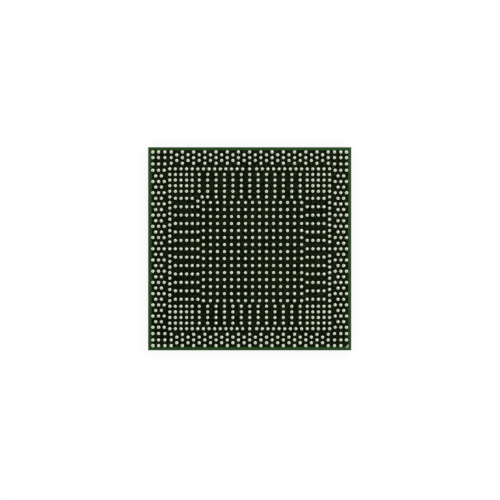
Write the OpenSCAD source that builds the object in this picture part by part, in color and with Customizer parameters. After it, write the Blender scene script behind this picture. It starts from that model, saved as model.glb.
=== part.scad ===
// Flip-chip ball grid array package, lying on the back of its die with the balls up.
// The origin is the middle of the die's back face, and +Z points to the ball side.

/* [Board] */
// Side of the square board
body_w = 29; // [28:0.5:33]
// Thickness of the laminate between its two solder masks
laminate_t = 1.1; // [0.6:0.1:1.6]
// Thickness of each solder mask
mask_t = 0.03; // [0.02:0.01:0.05]

/* [Solder balls] */
// Widest diameter of a ball after reflow
ball_d = 0.55; // [0.48:0.01:0.6]
// Diameter of the mask opening, which a ball fills down to its land
land_d = 0.42; // [0.36:0.01:0.45]
// Spacing in the outer bands, the square ring and the blocks in its corners
fine_pitch = 0.8; // [0.75:0.01:0.85]
// Spacing of the second and third rows of the board's corner groups
corner_pitch = 0.9; // [0.85:0.01:0.95]
// Spacing of the lines that run from the ring towards the core
line_pitch = 1.2; // [1.1:0.05:1.4]
// Spacing in the power and ground core
core_pitch = 1; // [0.9:0.05:1.2]
// Board edge to the centres of the outermost balls
edge_gap = 0.7; // [0.6:0.05:0.9]
// Along the two innermost lines, from where they would cross to the first ball of each
crossing_gap = 0.6; // [0.5:0.05:0.7]

/* [Corner marks] */
// Leg of the triangle that marks the first ball's corner
mark_leg = 0.5; // [0.4:0.05:0.6]
// Board edge to the triangle's two legs
mark_gap = 0.4; // [0.35:0.05:0.5]

/* [Die] */
// Width of the die along X
die_w = 10.6; // [8:0.1:12]
// Length of the die along Y
die_l = 9.8; // [8:0.1:12]
// Thickness of the die
die_t = 0.78; // [0.65:0.01:0.85]
// Gap between the die and the board's mask, which the underfill fills
bump_h = 0.07; // [0.05:0.01:0.1]
// Diameter of a die bump
bump_d = 0.12; // [0.08:0.01:0.15]
// Spacing of the die bumps
bump_pitch = 0.5; // [0.4:0.05:1]
// Reach of the underfill's fillet, out along the board and up the die's side
fillet_r = 0.6; // [0.3:0.05:0.7]
// How hollow the fillets are: the arc's centre, in reaches from the corner that it fills
fillet_hollow = 1.6; // [1.3:0.1:3]

/* [Chip capacitors] */
// Length over the two end caps
cap_l = 1; // [0.8:0.1:1.2]
// Width
cap_w = 0.5; // [0.4:0.05:0.6]
// Height
cap_h = 0.5; // [0.3:0.05:0.55]
// Length of an end cap along the side
cap_end = 0.25; // [0.15:0.01:0.3]
// Thickness of an end cap's metal
cap_plating = 0.02; // [0.01:0.005:0.03]
// Radius of a capacitor's long edges
cap_edge_r = 0.04; // [0.03:0.01:0.1]
// Solder between the mask's surface and an end cap
cap_solder = 0.03; // [0.02:0.01:0.05]
// How far a land and its solder reach past a capacitor's end
cap_land_over = 0.15; // [0.1:0.05:0.3]
// Capacitors on each side of the die
caps_a_side = 6; // [2:1:6]
// Spacing of the capacitors in a row
cap_pitch = 1.6; // [1.2:0.1:2]
// Underfill's toe to the near ends of the capacitors
cap_gap = 1.5; // [1:0.1:2.5]

/* [Hidden] */
$fn = 32;

// Levels, from the die's back up to the ball side
gap_z = die_t;
under_mask_z = gap_z + bump_h;
laminate_z = under_mask_z + mask_t;
land_z = laminate_z + laminate_t;
board_top = land_z + mask_t;

// Ball centre above the mask, where the sphere's neck just fills the opening
ball_rise = sqrt(pow(ball_d / 2, 2) - pow(land_d / 2, 2));

// The ball layout, worked inwards from the board's edge
band_y = body_w / 2 - edge_gap;
ring_y = band_y - 3 * fine_pitch;
block_y = ring_y - 4 * fine_pitch;
inner_y = ring_y - 5 * fine_pitch;
block_rows = [1:4];
rounding = 0.001;
band_n = floor(ring_y / (2 * fine_pitch) + rounding);
ring_n = floor((ring_y - fine_pitch) / fine_pitch + rounding);
line_n = floor((block_y - fine_pitch) / line_pitch + rounding);
core_n = floor((2 * inner_y - fine_pitch) / core_pitch + rounding);
corner_steps = [band_y, band_y - fine_pitch, band_y - fine_pitch - corner_pitch];

// The corner without a ball, which has the triangle
mark_at = [1, -1];

// Land under an end cap: its length, and its middle from the capacitor's
cap_land_l = cap_end + cap_land_over;
cap_land_x = cap_l / 2 + cap_land_over - cap_land_l / 2;

CAP_NAMES = [for (side = ["north", "west", "south", "east"]) for (i = [1:caps_a_side])
    str("capacitor_", side, "_", i)];
BALL_NAMES = ["tip_balls", "corner_balls", "north_band_balls", "west_band_balls",
    "south_band_balls", "east_band_balls", "ring_balls", "block_balls", "north_line_balls",
    "west_line_balls", "south_line_balls", "east_line_balls", "core_balls"];

// ---- Where the balls are ----

// Points turned by a number of quarter turns, anticlockwise
function turned(points, quarters) = quarters == 0 ? points
    : turned([for (p = points) [-p[1], p[0]]], quarters - 1);

// The three corner balls that carry most, and two beside the marked corner's triangle
function tip_spots() = [for (sx = [-1, 1]) for (sy = [-1, 1])
    if ([sx, sy] != mark_at) [sx * band_y, sy * band_y],
    for (i = [0, 1]) [mark_at[0] * corner_steps[i], mark_at[1] * corner_steps[1 - i]]];

// The rest of the three by three groups in the corners
function corner_spots() = [for (sx = [-1, 1]) for (sy = [-1, 1]) for (i = [0:2]) for (j = [0:2])
    if (i + j > ([sx, sy] == mark_at ? 1 : 0)) [sx * corner_steps[i], sy * corner_steps[j]]];

// An outer band: columns of three and of two balls, half a step apart
function band_spots() = concat(
    [for (k = [-band_n:band_n]) for (r = [0:2]) [2 * fine_pitch * k, band_y - fine_pitch * r]],
    [for (k = [-band_n:band_n - 1]) for (r = [0.5, 1.5])
        [2 * fine_pitch * (k + 0.5), band_y - fine_pitch * r]]);

// Steps along one side of the ring, from its corners inwards, with one ball in the middle
function ring_steps() = concat([0], [for (s = [-1, 1]) for (j = [0:ring_n]) s * (ring_y - fine_pitch * j)]);
function ring_spots() = concat(
    [for (s = [-1, 1]) for (x = ring_steps()) [x, s * ring_y]],
    [for (s = [-1, 1]) for (y = ring_steps()) if (abs(y) < ring_y - rounding) [s * ring_y, y]]);

// The four by four blocks inside the ring's corners
function block_spots() = [for (sx = [-1, 1]) for (sy = [-1, 1]) for (i = block_rows) for (j = block_rows)
    [sx * (ring_y - fine_pitch * i), sy * (ring_y - fine_pitch * j)]];

// The lines between two blocks
function line_spots() = [for (k = [-line_n:line_n]) for (r = block_rows)
    [line_pitch * k, ring_y - fine_pitch * r]];

// The innermost row on the north side, whose west end steps aside for the west side's column
function inner_row_spots() = [for (k = [-line_n:line_n])
    [k == -line_n ? crossing_gap - inner_y : line_pitch * k, inner_y]];

// That column, the same balls mirrored in the diagonal through the triangle
function inner_column_spots() = [for (p = inner_row_spots()) [-p[1], -p[0]]];

// The core, counted from the corner towards the triangle
function core_spots() = [for (i = [0:core_n]) for (j = [0:core_n])
    [mark_at[0] * (inner_y - core_pitch * i), mark_at[1] * (inner_y - core_pitch * j)]];

function ball_spots(name) =
    name == "tip_balls" ? tip_spots()
    : name == "corner_balls" ? corner_spots()
    : name == "north_band_balls" ? band_spots()
    : name == "west_band_balls" ? turned(band_spots(), 1)
    : name == "south_band_balls" ? turned(band_spots(), 2)
    : name == "east_band_balls" ? turned(band_spots(), 3)
    : name == "ring_balls" ? ring_spots()
    : name == "block_balls" ? block_spots()
    : name == "north_line_balls" ? concat(line_spots(), inner_row_spots())
    : name == "west_line_balls" ? concat(turned(line_spots(), 1), inner_column_spots())
    : name == "south_line_balls" ? turned(line_spots(), 2)
    : name == "east_line_balls" ? turned(line_spots(), 3)
    : core_spots();

// ---- The solder balls ----

// Half of a ball's section: the plug in the mask's opening and the sphere that stands on it
module ball_section() {
    square([land_d / 2, mask_t]);
    intersection() {
        translate([0, mask_t + ball_rise]) circle(d = ball_d);
        translate([0, mask_t]) square([ball_d, 2 * ball_d]);
    }
}

module balls(name) {
    color([0.86, 0.88, 0.83])
    for (p = ball_spots(name))
        translate([p[0], p[1], land_z]) rotate_extrude() ball_section();
}

// ---- The board ----

module laminate() {
    color([0.36, 0.38, 0.2])
    translate([-body_w / 2, -body_w / 2, laminate_z]) cube([body_w, body_w, laminate_t]);
}

// The triangle's outline, its square corner towards the board's corner
module mark_outline() {
    reach = body_w / 2 - mark_gap;
    corner = [mark_at[0] * reach, mark_at[1] * reach];
    polygon([corner, corner - [mark_at[0] * mark_leg, 0], corner - [0, mark_at[1] * mark_leg]]);
}

module ball_side_mask() {
    color([0.08, 0.14, 0.06])
    translate([0, 0, land_z]) linear_extrude(mask_t) difference() {
        square(body_w, center = true);
        for (name = BALL_NAMES) for (p = ball_spots(name)) translate(p) circle(d = land_d);
        mark_outline();
    }
}

module die_side_mask() {
    color([0.12, 0.32, 0.12])
    translate([0, 0, under_mask_z]) linear_extrude(mask_t) difference() {
        square(body_w, center = true);
        bump_outlines();
        each_capacitor() for (s = [-1, 1]) translate([s * cap_land_x, 0])
            square([cap_land_l, cap_w], center = true);
        mark_outline();
    }
}

module ball_side_mark() {
    color([0.7, 0.74, 0.62])
    translate([0, 0, land_z]) linear_extrude(mask_t) mark_outline();
}

module die_side_mark() {
    color([0.83, 0.66, 0.3])
    translate([0, 0, under_mask_z]) linear_extrude(mask_t) mark_outline();
}

// ---- The die ----

module die() {
    color([0.42, 0.44, 0.48])
    translate([-die_w / 2, -die_l / 2, 0]) cube([die_w, die_l, die_t]);
}

// Bumps fill the die's face up to one pitch from its edges
module bump_outlines() {
    nx = floor((die_w / 2 - bump_pitch) / bump_pitch + rounding);
    ny = floor((die_l / 2 - bump_pitch) / bump_pitch + rounding);
    for (i = [-nx:nx]) for (j = [-ny:ny]) translate(bump_pitch * [i, j]) circle(d = bump_d);
}

module die_bumps() {
    color([0.75, 0.76, 0.74])
    translate([0, 0, gap_z]) linear_extrude(bump_h + mask_t) bump_outlines();
}

// Section of a fillet in the corner at X 0 and Y 0: a hollow arc that reaches as far along both
module fillet_section(reach) {
    centre = fillet_hollow * reach;
    difference() {
        square(reach);
        translate([centre, centre]) circle(r = norm([centre - reach, centre]));
    }
}

// One side of the underfill's fillet, and the corner that follows it
module fillet_run(side_l, side_x) {
    translate([side_x, side_l / 2, 0]) {
        rotate([90, 0, 0]) linear_extrude(side_l) fillet_section(fillet_r);
        rotate_extrude(angle = 90) fillet_section(fillet_r);
    }
}

module underfill() {
    color([0.13, 0.13, 0.14])
    difference() {
        union() {
            translate([-die_w / 2, -die_l / 2, gap_z]) cube([die_w, die_l, bump_h]);
            translate([0, 0, under_mask_z]) mirror([0, 0, 1]) for (q = [0:3]) rotate(90 * q)
                fillet_run(q % 2 == 0 ? die_l : die_w, (q % 2 == 0 ? die_w : die_l) / 2);
        }
        translate([0, 0, gap_z]) linear_extrude(bump_h) bump_outlines();
    }
}

// ---- The capacitors ----

// Distance from the board's middle to a capacitor's middle, on the side q quarter turns from north
function cap_reach(q) = (q % 2 == 0 ? die_l : die_w) / 2 + fillet_r + cap_gap + cap_l / 2;

// Children in a capacitor's own frame: +X along its length, +Z away from the board
module at_capacitor(q, i) {
    rotate(90 * q) translate([cap_pitch * (i - (caps_a_side + 1) / 2), cap_reach(q), 0])
        rotate(90) children();
}

module each_capacitor() {
    for (q = [0:3]) for (i = [1:caps_a_side]) at_capacitor(q, i) children();
}

// Children drawn on the board's plane at Z 0 go to the die side's mask, facing down
module on_die_side() {
    translate([0, 0, under_mask_z]) mirror([0, 0, 1]) children();
}

// Square with round corners, drawn from true arcs
module rounded_square(w, h, r) {
    square([w - 2 * r, h], center = true);
    square([w, h - 2 * r], center = true);
    for (sx = [-1, 1]) for (sy = [-1, 1])
        translate([sx * (w / 2 - r), sy * (h / 2 - r)]) circle(r);
}

// Block from X x0 to x1 with round long edges, its underside clear of the board by the solder
module cap_block(x0, x1, inset) {
    translate([x0, 0, cap_solder + cap_h / 2]) rotate([90, 0, 90]) linear_extrude(x1 - x0)
        rounded_square(cap_w - 2 * inset, cap_h - 2 * inset, cap_edge_r);
}

module capacitor_body() {
    cap_block(-cap_l / 2 + cap_plating, cap_l / 2 - cap_plating, cap_plating);
}

module capacitor(q, i) {
    color([0.66, 0.5, 0.36]) on_die_side() at_capacitor(q, i) capacitor_body();
}

module capacitor_ends() {
    color([0.8, 0.81, 0.8]) on_die_side() each_capacitor() for (s = [0, 1]) mirror([s, 0, 0])
        difference() {
            cap_block(cap_l / 2 - cap_end, cap_l / 2, 0);
            capacitor_body();
        }
}

// Solder in a land's opening, under the end cap and up its end face
module capacitor_solder() {
    color([0.78, 0.79, 0.77]) on_die_side() each_capacitor() for (s = [0, 1]) mirror([s, 0, 0]) {
        translate([cap_land_x, 0, (cap_solder - mask_t) / 2])
            cube([cap_land_l, cap_w, cap_solder + mask_t], center = true);
        translate([cap_l / 2, cap_w / 2, cap_solder]) rotate([90, 0, 0]) linear_extrude(cap_w)
            fillet_section(cap_land_over);
    }
}

laminate();
ball_side_mask();
die_side_mask();
ball_side_mark();
die_side_mark();
die();
die_bumps();
underfill();
capacitor_ends();
capacitor_solder();
for (name = BALL_NAMES) balls(name);
for (q = [0:3]) for (i = [1:caps_a_side])
    capacitor(q, i);
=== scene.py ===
import math
import random

import bmesh
import bpy
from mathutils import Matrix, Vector, noise


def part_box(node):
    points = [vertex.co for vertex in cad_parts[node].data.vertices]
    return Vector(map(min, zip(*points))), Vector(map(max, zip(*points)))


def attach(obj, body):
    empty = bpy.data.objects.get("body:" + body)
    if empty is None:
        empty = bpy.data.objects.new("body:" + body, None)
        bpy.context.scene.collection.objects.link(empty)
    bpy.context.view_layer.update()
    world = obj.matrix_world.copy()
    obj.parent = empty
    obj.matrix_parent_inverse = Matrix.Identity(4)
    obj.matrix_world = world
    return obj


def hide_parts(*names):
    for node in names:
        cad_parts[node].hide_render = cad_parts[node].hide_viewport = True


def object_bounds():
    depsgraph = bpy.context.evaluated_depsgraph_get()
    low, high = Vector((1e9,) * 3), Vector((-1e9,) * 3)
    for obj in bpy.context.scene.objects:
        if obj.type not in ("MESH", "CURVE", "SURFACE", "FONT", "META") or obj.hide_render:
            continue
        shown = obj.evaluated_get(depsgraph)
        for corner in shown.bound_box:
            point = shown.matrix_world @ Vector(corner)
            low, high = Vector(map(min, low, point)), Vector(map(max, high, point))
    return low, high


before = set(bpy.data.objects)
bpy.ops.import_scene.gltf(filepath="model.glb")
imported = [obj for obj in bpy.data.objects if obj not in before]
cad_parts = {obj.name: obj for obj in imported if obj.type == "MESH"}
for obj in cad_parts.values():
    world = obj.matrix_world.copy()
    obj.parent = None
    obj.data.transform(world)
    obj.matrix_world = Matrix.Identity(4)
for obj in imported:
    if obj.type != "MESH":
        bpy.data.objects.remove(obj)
cad_low, cad_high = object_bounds()


# ---- Laminate board ----
# Glass cloth and resin pressed with copper sheets, then sawn to size. Only the sawn edge shows: a
# tan core with bundles of glass in it, between thin layers of green resin and copper.

MM = 0.001


def tint(red, green, blue):
    """An sRGB colour, 0 to 255, as the linear colour that a socket takes."""
    share = [c / 255 for c in (red, green, blue)]
    return (*[c / 12.92 if c < 0.04045 else ((c + 0.055) / 1.055) ** 2.4 for c in share], 1.0)


def finish(name, **sockets):
    """A new material, with values set on the shader's own sockets."""
    material = bpy.data.materials.new(name)
    material.use_nodes = True
    for socket, value in sockets.items():
        material.node_tree.nodes["Principled BSDF"].inputs[socket.replace("_", " ")].default_value = value
    return material


def node(material, kind, inputs=None, **settings):
    """A shader node with its settings, its inputs set to values or joined to other nodes' outputs."""
    made = material.node_tree.nodes.new("ShaderNode" + kind)
    for name, value in settings.items():
        setattr(made, name, value)
    for key, value in (inputs or {}).items():
        if isinstance(value, bpy.types.NodeSocket):
            material.node_tree.links.new(value, made.inputs[key])
        else:
            made.inputs[key].default_value = value
    return made


def sums(material, operation, *values):
    """A Math node's answer."""
    return node(material, "Math", dict(enumerate(values)), operation=operation).outputs[0]


def join(material, socket, output):
    """Joins an output to one of the shader's own sockets."""
    shader = material.node_tree.nodes["Principled BSDF"]
    material.node_tree.links.new(output, shader.inputs[socket])


def place(material, stretch=(1, 1, 1), move=(0, 0, 0)):
    """Object coordinates in millimetres, stretched and then moved."""
    spot = node(material, "TexCoord").outputs["Object"]
    scale = [s / MM for s in stretch]
    return node(material, "Mapping", {"Vector": spot, "Scale": scale, "Location": move}).outputs[0]


def speckle(material, spot, scale, detail=3.0, roughness=0.5):
    """Soft noise round one half, with so many cells to a millimetre."""
    cells = {"Vector": spot, "Scale": scale, "Detail": detail, "Roughness": roughness}
    return node(material, "TexNoise", cells).outputs["Fac"]


def span(material, value, low, high, to_low=0.0, to_high=1.0, smooth=False):
    """Maps a range of values to another, held at its ends."""
    ends = {"Value": value, "From Min": low, "From Max": high, "To Min": to_low, "To Max": to_high}
    kind = "SMOOTHSTEP" if smooth else "LINEAR"
    return node(material, "MapRange", ends, interpolation_type=kind).outputs[0]


def blend(material, factor, first, second):
    """Mixes two colours by a factor."""
    return node(material, "Mix", {0: factor, 6: first, 7: second}, data_type="RGBA").outputs[2]


def ramp(material, value, stops, steps="LINEAR"):
    """Colours a value by stops of position and colour."""
    made = node(material, "ValToRGB", {"Fac": value})
    made.color_ramp.interpolation = steps
    while len(made.color_ramp.elements) < len(stops):
        made.color_ramp.elements.new(0.5)
    for element, (position, colour) in zip(made.color_ramp.elements, stops):
        element.position, element.color = position, colour
    return made.outputs[0]


def relief(material, height, depth):
    """Bumps the surface by a height from 0 to 1 that stands for so many metres."""
    join(material, "Normal", node(material, "Bump", {"Height": height, "Distance": depth}).outputs[0])


board_low, board_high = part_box("laminate")
build_up = 0.13
copper, resin = tint(124, 86, 46), tint(58, 74, 34)
edge = finish("laminate_edge", Roughness=0.7)
height = node(edge, "SeparateXYZ", {"Vector": place(edge)}).outputs["Z"]
level = span(edge, height, board_low.z / MM, board_high.z / MM)
cloth = speckle(edge, place(edge, stretch=(1.5, 1.5, 13)), 1.0, detail=4)
strands = speckle(edge, place(edge, stretch=(5, 5, 60)), 1.0)
weave = place(edge, stretch=(1.3, 1.3, 8))
bundles = node(edge, "TexVoronoi", {"Vector": weave, "Scale": 1.0, "Randomness": 0.8},
               feature="DISTANCE_TO_EDGE").outputs["Distance"]
glass = blend(edge, span(edge, strands, 0.35, 0.65), tint(150, 142, 92), tint(176, 169, 120))
core = blend(edge, span(edge, bundles, 0.02, 0.2, 0.4, 1.0), tint(118, 110, 60), glass)
core = blend(edge, span(edge, cloth, 0.4, 0.65, 0.5, 0.0), core, tint(128, 122, 66))
layers = ramp(edge, level, [(0, resin), (0.035, copper), (0.05, resin), (0.08, copper), (0.095, resin),
                            (0.12, copper), (0.865, copper), (0.88, resin), (0.905, copper), (0.92, resin),
                            (0.95, copper), (0.965, resin)], "CONSTANT")
in_core = sums(edge, "COMPARE", level, 0.5, 0.5 - build_up)
saw = speckle(edge, place(edge, stretch=(9, 9, 2)), 1.0, detail=5, roughness=0.6)
cut = blend(edge, in_core, layers, core)
join(edge, "Base Color", blend(edge, span(edge, saw, 0.35, 0.75, 0.0, 0.5), cut, tint(84, 80, 48)))
relief(edge, saw, 0.012 * MM)
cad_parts["laminate"].data.materials.clear()
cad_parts["laminate"].data.materials.append(edge)


# ---- Solder masks ----
# A thin coat of green epoxy, printed and cured on both faces. It looks near black over the copper
# sheet under the balls, and plain green in the strip along the edge where the copper stops short.

bare_rim = 0.45
copper_end = board_high.x / MM - bare_rim
copper_fade = 0.06
copper_shift = (-0.035, -0.03, 0)
vent_pitch = 0.6


def mask_finish(name, over_copper, clouds, over_resin, rough, vents):
    """Mask over copper that stops short of the board's edge and has rows of small vents, in cloudy tones,
    with painted light that makes it lighter towards the +X, +Y corner and darker towards the -X, -Y corner.
    """
    material = finish(name, Roughness=rough, Specular_IOR_Level=0.16)
    spot = place(material, move=copper_shift)
    side = node(material, "SeparateXYZ", {"Vector": spot}).outputs
    far = sums(material, "MAXIMUM", *[sums(material, "ABSOLUTE", side[axis]) for axis in "XY"])
    bare = span(material, far, copper_end - copper_fade, copper_end + copper_fade, smooth=True)
    # Painted light: a slope across the face that lightens the mask towards the +X, +Y corner and darkens it
    # towards the -X, -Y corner, as light from that side would. It weights the pale flecks in the field and
    # the green strip's tone, on top of their random grain.
    painted_light_slope = span(material, sums(material, "ADD", side["X"], side["Y"]), -2 * copper_end, 2 * copper_end)
    wide = span(material, speckle(material, spot, 0.3, detail=2), 0.42, 0.6, smooth=True)
    near = span(material, speckle(material, place(material, move=(9, 4, 0)), 0.9, detail=4), 0.48, 0.62)
    grain = span(material, speckle(material, spot, 4.2, detail=3, roughness=0.7), 0.44, 0.64)
    field = blend(material, near, blend(material, wide, over_copper, clouds[0]), clouds[1])
    field = blend(material, sums(material, "MULTIPLY", grain, span(material, painted_light_slope, 0, 1, 0.4, 0.8)), field,
                  clouds[2])
    strip = blend(material, sums(material, "MULTIPLY_ADD", grain, 0.4, span(material, painted_light_slope, 0, 1, 0.6, 0.0)),
                  *over_resin)
    vent = node(material, "TexVoronoi", {"Vector": spot, "Scale": 1 / vent_pitch, "Randomness": 0},
                voronoi_dimensions="2D").outputs["Distance"]
    field = blend(material, span(material, vent, 0.09, 0.14, vents, 0.0), field, clouds[1])
    join(material, "Base Color", blend(material, bare, field, strip))
    relief(material, speckle(material, spot, 1.8, detail=3), 0.006 * MM)
    return material


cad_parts["ball_side_mask"].data.materials.clear()
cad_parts["ball_side_mask"].data.materials.append(mask_finish(
    "dark_green_mask", tint(3, 8, 0), (tint(12, 15, 1), tint(2, 14, 4), tint(42, 54, 29)),
    (tint(45, 81, 37), tint(28, 56, 21)), 0.17, 0.3))
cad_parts["die_side_mask"].data.materials.clear()
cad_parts["die_side_mask"].data.materials.append(mask_finish(
    "green_mask", tint(22, 60, 30), (tint(27, 65, 31), tint(17, 51, 26), tint(36, 74, 39)),
    (tint(52, 92, 44), tint(36, 74, 32)), 0.24, 0.8))


# ---- Corner marks ----
# A bare triangle of metal in the first ball's corner of each face, where the mask leaves its land
# open. It is tinned on the ball side and gold plated on the die side.

hair = 0.001 * MM


def pick(piece, kind, test):
    """Selects the faces, edges or points of a piece in edit mode that pass a test, and nothing else."""
    bpy.ops.mesh.select_mode(type=kind)
    bpy.ops.mesh.select_all(action="DESELECT")
    shape = bmesh.from_edit_mesh(piece.data)
    for part in {"VERT": shape.verts, "EDGE": shape.edges, "FACE": shape.faces}[kind]:
        if test(part):
            part.select_set(True)
    shape.select_flush_mode()
    bmesh.update_edit_mesh(piece.data)


def start(add, **settings):
    """Adds a primitive with nothing else selected, settles it, and opens it in edit mode."""
    bpy.ops.object.select_all(action="DESELECT")
    add(**settings)
    piece = bpy.context.object
    settle(piece)
    bpy.ops.object.mode_set(mode="EDIT")
    bpy.ops.mesh.select_all(action="SELECT")
    return piece


def settle(piece):
    """Applies a piece's place, turn and scale to its mesh, so that its object is at the origin."""
    bpy.ops.object.select_all(action="DESELECT")
    piece.select_set(True)
    bpy.context.view_layer.objects.active = piece
    bpy.ops.object.transform_apply(location=True, rotation=True, scale=True)


def close(piece, crease):
    """Merges doubles, turns the faces outwards, leaves edit mode and shades smooth up to an angle."""
    bpy.ops.mesh.select_mode(type="VERT")
    bpy.ops.mesh.select_all(action="SELECT")
    bpy.ops.mesh.remove_doubles(threshold=0.1 * hair)
    bpy.ops.mesh.normals_make_consistent(inside=False)
    bpy.ops.object.mode_set(mode="OBJECT")
    bpy.ops.object.shade_smooth_by_angle(angle=math.radians(crease))


def lift(x=0.0, y=0.0, z=0.0):
    """Extrudes what is selected by so much."""
    bpy.ops.mesh.extrude_region_move(TRANSFORM_OT_translate={"value": (x, y, z)})


def another(piece, location=(0, 0, 0), rotation=(0, 0, 0), scale=(1, 1, 1)):
    """A copy of a piece with its own mesh, not yet settled."""
    twin = piece.copy()
    twin.data = piece.data.copy()
    bpy.context.collection.objects.link(twin)
    twin.location, twin.rotation_euler, twin.scale = location, rotation, scale
    return twin


def gather(pieces):
    """Joins pieces into one and settles it."""
    bpy.ops.object.select_all(action="DESELECT")
    for piece in pieces:
        piece.select_set(True)
    bpy.context.view_layer.objects.active = pieces[0]
    bpy.ops.object.join()
    settle(pieces[0])
    return pieces[0]


def dress(piece, name, material, slot, *nodes):
    """Names a finished piece, gives it its material, and puts it in place of CAD nodes."""
    piece.name = piece.data.name = name
    piece.data.materials.clear()
    piece.data.materials.append(material)
    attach(piece, "root")
    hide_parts(*nodes)


def land_finish(name, metal, stain, rough):
    """A plated land with faint stains and a slightly pebbled surface."""
    material = finish(name, Metallic=1.0, Roughness=rough)
    spot = place(material)
    stains = span(material, speckle(material, spot, 6.0, detail=4), 0.35, 0.7, 0.0, 0.6)
    join(material, "Base Color", blend(material, stains, metal, stain))
    relief(material, speckle(material, spot, 22.0, detail=3), 0.004 * MM)
    return material


mark_low, mark_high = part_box("ball_side_mark")
mark_leg = mark_high.x - mark_low.x
mark_round = 0.006 * MM
mark_middle = Vector((mark_low.x + mark_high.x, mark_low.y + mark_high.y, 2 * mark_low.z)) / 2
mark = start(bpy.ops.mesh.primitive_plane_add, size=mark_leg, location=mark_middle)
bpy.ops.mesh.bisect(plane_co=mark_low, plane_no=(-1, 1, 0), clear_outer=True)
bpy.ops.mesh.select_all(action="SELECT")
lift(z=mark_high.z - mark_low.z)
pick(mark, "EDGE", lambda e: all(v.co.z > mark_high.z - hair for v in e.verts))
bpy.ops.mesh.bevel(offset=mark_round, segments=2, affect="EDGES")
pick(mark, "FACE", lambda f: f.normal.z > 0.99 and f.calc_area() > 0.2 * mark_leg ** 2)
bpy.ops.mesh.inset(thickness=0.04 * MM, depth=0.004 * MM)
bpy.ops.mesh.inset(thickness=0.05 * MM, depth=0.002 * MM)
close(mark, 40)
under_mark = another(mark, location=(0, 0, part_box("die_side_mark")[1].z + mark_low.z), scale=(1, 1, -1))
settle(under_mark)
bpy.ops.object.mode_set(mode="EDIT")
close(under_mark, 40)
dress(mark, "tinned_triangle", land_finish("tinned_land", tint(196, 208, 182), tint(166, 180, 152), 0.6),
      "tinned_mark", "ball_side_mark")
dress(under_mark, "gilt_triangle", land_finish("gilt_land", tint(226, 184, 96), tint(190, 146, 72), 0.35),
      "gold_mark", "die_side_mark")


# ---- Solder balls ----
# Tin, silver and copper alloy, melted onto the lands through the mask's openings. Each froze as a
# sphere cut off at the mask, with a plug below, a slightly flat crown and a frosted skin of its own.

skin = finish("solder_ball", Metallic=1.0)
skin_spot = place(skin)
own = node(skin, "Attribute", attribute_name="ball_tone").outputs["Fac"]
frost = speckle(skin, skin_spot, 9.0, detail=4, roughness=0.6)
bright = ramp(skin, own, [(0, tint(217, 222, 198)), (0.35, tint(215, 228, 203)), (0.7, tint(226, 231, 213)),
                          (1, tint(218, 228, 216))])
join(skin, "Base Color", blend(skin, span(skin, frost, 0.42, 0.75, 0.0, 0.25), bright, tint(190, 196, 178)))
join(skin, "Roughness", span(skin, own, 0, 1, 0.21, 0.17))
relief(skin, frost, 0.003 * MM)

mask_low, mask_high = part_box("ball_side_mask")
ball_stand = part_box("tip_balls")[1].z - mask_high.z
land_r = 0.21 * MM
crown_drop = 0.008 * MM
ball_r = (ball_stand ** 2 + land_r ** 2) / (2 * ball_stand)
ball = start(bpy.ops.mesh.primitive_uv_sphere_add, segments=12, ring_count=6, radius=ball_r,
             location=(0, 0, ball_stand - ball_r))
bpy.ops.mesh.bisect(plane_co=(0, 0, 0), plane_no=(0, 0, 1), clear_inner=True, use_fill=True)
pick(ball, "FACE", lambda f: f.normal.z < -0.99)
lift(z=mask_low.z - mask_high.z)
pick(ball, "VERT", lambda v: v.co.z > ball_stand - hair)
bpy.ops.transform.translate(value=(0, 0, -crown_drop))
close(ball, 50)


def ball_places(group):
    """The middle of each ball of a CAD group, read from the points at their crowns."""
    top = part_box(group)[1].z
    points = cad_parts[group].data.vertices
    return sorted({(round(p.co.x, 5), round(p.co.y, 5)) for p in points if p.co.z > top - hair})


chance = random.Random(962)
width_spread = 0.02
lean_spread = 0.02
for group in sorted(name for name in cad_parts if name.endswith("_balls")):
    row = []
    for x, y in ball_places(group):
        wide = 1 + chance.uniform(-width_spread, width_spread)
        lean = (chance.gauss(0, lean_spread), chance.gauss(0, lean_spread), chance.uniform(0, math.tau))
        row.append(another(ball, (x, y, mask_high.z), lean, (wide, wide, 2 - wide)))
        tone = row[-1].data.attributes.new("ball_tone", "FLOAT", "POINT")
        tone.data.foreach_set("value", [chance.random()] * len(tone.data))
    dress(gather(row), "melted_" + group, skin, "solder", group)
bpy.data.objects.remove(ball)


# ---- Silicon die ----
# A sawn chip of silicon, face down on its bumps. Its back is ground to a dark mirror with faint
# curved grinding lines, and the saw left fine chips along its edges.

silicon = finish("ground_silicon", Metallic=1.0)
rings = node(silicon, "TexWave", {"Vector": place(silicon, move=(38, 21, 0)), "Scale": 2.2, "Distortion": 0.6,
                                  "Detail": 2}, wave_type="RINGS", rings_direction="Z").outputs["Fac"]
smear = speckle(silicon, place(silicon), 0.5)
join(silicon, "Base Color", blend(silicon, smear, tint(138, 142, 150), tint(164, 166, 172)))
join(silicon, "Roughness", span(silicon, smear, 0.3, 0.7, 0.12, 0.24))
relief(silicon, sums(silicon, "MULTIPLY", rings, speckle(silicon, place(silicon), 4.0)), 0.0008 * MM)

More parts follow.
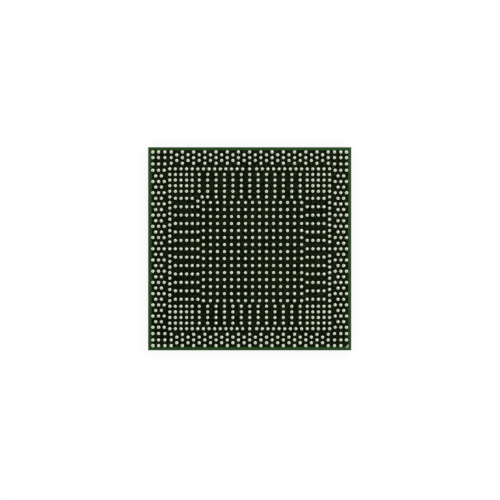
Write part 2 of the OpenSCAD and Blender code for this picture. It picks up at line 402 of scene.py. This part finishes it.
die_low, die_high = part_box("die")
chip_edge = 0.018 * MM
saw_cuts = 60
die = start(bpy.ops.mesh.primitive_cube_add, size=1, location=(die_low + die_high) / 2,
            scale=die_high - die_low)
pick(die, "EDGE", lambda e: all(v.co.z < die_low.z + hair for v in e.verts))
bpy.ops.mesh.bevel(offset=chip_edge, segments=1, affect="EDGES")
pick(die, "EDGE", lambda e: all(v.co.z < die_low.z + 2 * chip_edge for v in e.verts)
     and e.calc_length() > 1 * MM)
bpy.ops.mesh.subdivide(number_cuts=saw_cuts)
pick(die, "VERT", lambda v: hair < v.co.z - die_low.z < 2 * chip_edge)
bpy.ops.transform.vertex_random(offset=0.3 * chip_edge, seed=5)
close(die, 25)
dress(die, "ground_die", silicon, "silicon", "die")


# ---- Underfill ----
# Black filled epoxy, drawn into the gap under the die as a liquid and cured. It climbs the die's
# sides in a hollow fillet, and its foot runs out over the mask in a slightly wavy line.

epoxy = finish("underfill_epoxy", Roughness=0.28)
filler = speckle(epoxy, place(epoxy), 16.0, detail=4, roughness=0.7)
cloud = span(epoxy, speckle(epoxy, place(epoxy), 1.1, detail=2), 0.3, 0.7)
epoxy_tone = blend(epoxy, cloud, tint(30, 30, 32), tint(46, 45, 44))
join(epoxy, "Base Color", blend(epoxy, span(epoxy, filler, 0.45, 0.75, 0, 0.5), epoxy_tone, tint(72, 70, 66)))
relief(epoxy, filler, 0.003 * MM)

fill_low, fill_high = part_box("underfill")
reach = fill_high.x - die_high.x
climb = fill_high.z - fill_low.z
hollow = 1.6
climb_steps = 8
corner_steps = 8
side_cuts = 48
wave_length, wave_depth = 0.9 * MM, 0.12


def out_from_die(point):
    """How far and which way a point stands out from the die's outline."""
    x = min(max(point.x, die_low.x), die_high.x)
    y = min(max(point.y, die_low.y), die_high.y)
    return Vector((point.x - x, point.y - y, 0))


def spread(height):
    """The fillet's share of its reach at a share of its climb, on one hollow arc."""
    return hollow - math.sqrt(hollow ** 2 + (hollow - 1) ** 2 - (hollow - height) ** 2)


fill = start(bpy.ops.mesh.primitive_plane_add, size=1 * MM, location=(0, 0, fill_high.z))
bpy.ops.transform.resize(value=(fill_high.x / (0.5 * MM), fill_high.y / (0.5 * MM), 1),
                         center_override=(0, 0, fill_high.z))
bpy.ops.mesh.bevel(offset=reach, segments=corner_steps, affect="VERTICES")
pick(fill, "EDGE", lambda e: e.calc_length() > 1 * MM)
bpy.ops.mesh.subdivide(number_cuts=side_cuts)
for point in bmesh.from_edit_mesh(fill.data).verts:
    wave = 0.5 + 0.5 * noise.noise(point.co / wave_length)
    point.co -= wave_depth * wave * out_from_die(point.co)
bpy.ops.mesh.select_all(action="SELECT")
for step in range(climb_steps):
    shorter = spread((step + 1) / climb_steps) / spread(step / climb_steps)
    lift(z=-climb / climb_steps)
    for point in bmesh.from_edit_mesh(fill.data).verts:
        if point.select:
            point.co -= (1 - shorter) * out_from_die(point.co)
lift(z=die_high.z - fill_low.z)
close(fill, 60)
dress(fill, "cured_underfill", epoxy, "underfill", "underfill")


# ---- Chip capacitors ----
# Blocks of fired ceramic with plated metal ends, one row along each side of the die. Each stands on
# two lands, held by solder that climbs its ends in hollow fillets.

ceramic = finish("fired_ceramic", Roughness=0.5)
body_grain = speckle(ceramic, place(ceramic), 14.0, detail=4, roughness=0.6)
join(ceramic, "Base Color", blend(ceramic, span(ceramic, body_grain, 0.35, 0.7), tint(142, 112, 82),
                                  tint(172, 142, 108)))
relief(ceramic, body_grain, 0.004 * MM)

plate = finish("tin_plate", Metallic=1.0)
plate_grain = speckle(plate, place(plate), 18.0, detail=4, roughness=0.6)
join(plate, "Base Color", blend(plate, span(plate, plate_grain, 0.35, 0.7), tint(208, 208, 204),
                                tint(194, 195, 192)))
join(plate, "Roughness", span(plate, plate_grain, 0.3, 0.7, 0.36, 0.48))
relief(plate, plate_grain, 0.0025 * MM)

alloy = finish("reflowed_solder", Metallic=1.0, Roughness=0.3)
alloy_grain = speckle(alloy, place(alloy), 10.0, detail=4)
join(alloy, "Base Color", blend(alloy, span(alloy, alloy_grain, 0.4, 0.7), tint(214, 216, 210),
                                tint(184, 186, 180)))
relief(alloy, alloy_grain, 0.005 * MM)

body_low, body_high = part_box("capacitor_east_1")
ends_low, ends_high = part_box("capacitor_ends")
foot_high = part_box("capacitor_solder")[1]
mask_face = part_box("die_side_mask")[0].z
plating = body_low.z - ends_low.z
half_long = (body_high.x - body_low.x) / 2 + plating
across = body_high.y - body_low.y + 2 * plating
stand = mask_face - ends_high.z
band = 0.25 * MM
body_round, cup_round, foot_round = 0.03 * MM, 0.045 * MM, 0.015 * MM
foot_narrowing = 0.96
foot_over = foot_high.x - ends_high.x
foot_climb = mask_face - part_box("capacitor_solder")[0].z - stand
foot_steps = 5

block = start(bpy.ops.mesh.primitive_cube_add, size=1, location=(0, 0, stand + across / 2),
              scale=body_high - body_low)
bpy.ops.mesh.bevel(offset=body_round, segments=2, affect="EDGES")
close(block, 50)

cup = start(bpy.ops.mesh.primitive_cube_add, size=1, location=(half_long - band / 2, 0, stand + across / 2),
            scale=(band, across, across))
pick(cup, "EDGE", lambda e: any(v.co.x > half_long - hair for v in e.verts))
bpy.ops.mesh.bevel(offset=cup_round, segments=3, affect="EDGES")
pick(cup, "FACE", lambda f: f.normal.x < -0.99)
bpy.ops.mesh.inset(thickness=plating)
lift(x=band - plating)
bpy.ops.mesh.select_all(action="SELECT")
bpy.ops.mesh.duplicate()
bpy.ops.transform.rotate(value=math.pi, orient_axis="Z", center_override=(0, 0, 0))
close(cup, 50)

foot_low_x, foot_high_x = half_long - band, half_long + foot_over
foot_bottom = mask_face - foot_high.z
foot = start(bpy.ops.mesh.primitive_cube_add, size=1,
             location=((foot_low_x + foot_high_x) / 2, 0, (foot_bottom + stand) / 2),
             scale=(foot_high_x - foot_low_x, across, stand - foot_bottom))
bpy.ops.mesh.bisect(plane_co=(half_long, 0, 0), plane_no=(1, 0, 0))
pick(foot, "EDGE", lambda e: all(v.co.x > foot_high_x - hair for v in e.verts) and abs(
    e.verts[0].co.z - e.verts[1].co.z) > hair)
bpy.ops.mesh.bevel(offset=foot_round, segments=2, affect="EDGES")
pick(foot, "FACE", lambda f: f.normal.z > 0.99 and f.calc_center_median().x > half_long)
for step in range(foot_steps):
    shorter = spread((step + 1) / (foot_steps + 1)) / spread(step / (foot_steps + 1))
    lift(z=foot_climb / foot_steps)
    bpy.ops.transform.resize(value=(shorter, foot_narrowing, 1), center_override=(half_long, 0, 0))
bpy.ops.mesh.select_all(action="SELECT")
bpy.ops.mesh.duplicate()
bpy.ops.transform.rotate(value=math.pi, orient_axis="Z", center_override=(0, 0, 0))
close(foot, 50)

cups, feet = [], []
for name in sorted(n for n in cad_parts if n.startswith("capacitor_") and n[-1].isdigit()):
    low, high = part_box(name)
    spot = ((low.x + high.x) / 2, (low.y + high.y) / 2, mask_face)
    turned_over = (math.pi, 0, 0 if high.x - low.x > high.y - low.y else math.pi / 2)
    own_block = another(block, spot, turned_over)
    settle(own_block)
    dress(own_block, "fired_" + name, ceramic, "capacitor_ceramic", name)
    cups.append(another(cup, spot, turned_over))
    feet.append(another(foot, spot, turned_over))
dress(gather(cups), "plated_ends", plate, "tin_plate", "capacitor_ends")
dress(gather(feet), "capacitor_feet", alloy, "solder", "capacitor_solder")
for master in (block, cup, foot):
    bpy.data.objects.remove(master)


# ---- Die bumps ----
# Short columns of solder that join the die's face to the laminate's lands. The underfill hides them.

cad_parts["die_bumps"].data.materials.clear()
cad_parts["die_bumps"].data.materials.append(alloy)


# ---- Floor, light and camera ----
# A white floor under a white sky. Overhead the sky has a soft dark patch, as a lens would leave, which
# only reflections see.

floor = start(bpy.ops.mesh.primitive_plane_add, size=1.2, location=(0, 0, 0))
bpy.ops.object.mode_set(mode="OBJECT")
floor.name = "floor"
white = bpy.data.materials.new("white_floor")
white.use_nodes = True
white.node_tree.nodes.remove(white.node_tree.nodes["Principled BSDF"])
ray = node(white, "LightPath").outputs
seen = sums(white, "ADD", ray["Is Camera Ray"], sums(white, "ADD", ray["Is Glossy Ray"],
                                                     ray["Is Transmission Ray"]))
matt = node(white, "BsdfDiffuse", {"Color": (1, 1, 1, 1)}).outputs[0]
glow = node(white, "Emission", {"Color": (1, 1, 1, 1), "Strength": 1.0}).outputs[0]
mixed = node(white, "MixShader", {0: sums(white, "MULTIPLY", seen, 0.85), 1: matt, 2: glow}).outputs[0]
white.node_tree.links.new(mixed, white.node_tree.nodes["Material Output"].inputs["Surface"])
floor.data.materials.append(white)

sky = bpy.data.worlds.new("white_sky")
sky.use_nodes = True
bpy.context.scene.world = sky
towards = node(sky, "TexCoord").outputs["Generated"]
patch_way = (-0.12, -0.16, 0.98)
patch_edge, patch_core = math.radians(38), math.radians(22)
overhead = node(sky, "VectorMath", {0: towards, 1: patch_way}, operation="DOT_PRODUCT").outputs["Value"]
patch = span(sky, overhead, math.cos(patch_edge), math.cos(patch_core), smooth=True)
dark = sums(sky, "MULTIPLY", patch, node(sky, "LightPath").outputs["Is Glossy Ray"])
sky.node_tree.links.new(blend(sky, dark, (1, 1, 1, 1), (0.07, 0.07, 0.07, 1)),
                        sky.node_tree.nodes["Background"].inputs["Color"])

lamp_data = bpy.data.lights.new("soft_lamp", "AREA")
lamp_data.shape = "DISK"
lamp_data.size = 0.25
lamp_data.energy = 0.62
lamp = bpy.data.objects.new("soft_lamp", lamp_data)
lamp.location = (0.3, 0.3, 0.55)
lamp.rotation_euler = (-lamp.location).to_track_quat("-Z", "Y").to_euler()
bpy.context.collection.objects.link(lamp)

view_width = 71.3 * MM
aim_x, aim_y = 0.043 * MM, -0.175 * MM
camera_data = bpy.data.cameras.new("camera")
camera_data.lens = 250
camera = bpy.data.objects.new("camera", camera_data)
camera.location = (aim_x, aim_y, cad_high.z + view_width * camera_data.lens / camera_data.sensor_width)
bpy.context.collection.objects.link(camera)
bpy.context.scene.camera = camera
bpy.context.scene.view_settings.view_transform = "Standard"
